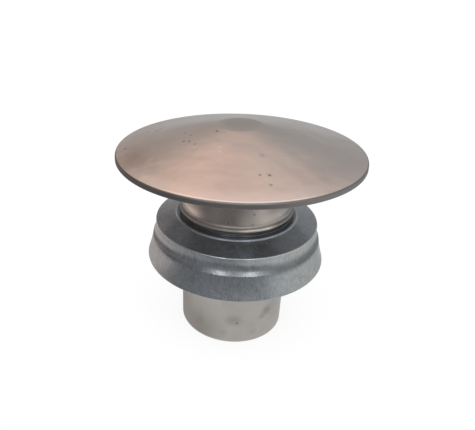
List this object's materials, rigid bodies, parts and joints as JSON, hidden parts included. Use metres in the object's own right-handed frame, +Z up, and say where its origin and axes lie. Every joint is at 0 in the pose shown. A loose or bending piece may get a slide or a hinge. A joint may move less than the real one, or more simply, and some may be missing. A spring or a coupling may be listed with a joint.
{
  "type": "flue cowl",
  "caption": "Round chimney flue cowl: a shallow conical rain hat on folded legs over a beaded flue tube, with a flared casing cover round the tube.",
  "frame": {"origin": "centre of the flue tube's lower edge, which is also the middle of the bottom of the whole", "axes": "+Z up along the flue's axis, -Y towards the picture's front"},
  "size_m": [0.3242, 0.3242, 0.2977],
  "materials": {
    "hat_steel": "satin spun stainless steel",
    "tube_steel": "bright rolled stainless steel, duller on the lower end",
    "galvanised_steel": "dull galvanised steel with fine streaks",
    "strap_steel": "plain mill-finish stainless steel"
  },
  "bodies": {
    "root": {"hat": "hat_steel", "flue_tube": "tube_steel", "casing_cover": "galvanised_steel", "hat_leg_1": "strap_steel", "hat_leg_2": "strap_steel", "hat_leg_3": "strap_steel", "casing_clip_1": "strap_steel", "casing_clip_2": "strap_steel", "casing_clip_3": "strap_steel"}
  },
  "joints": []
}
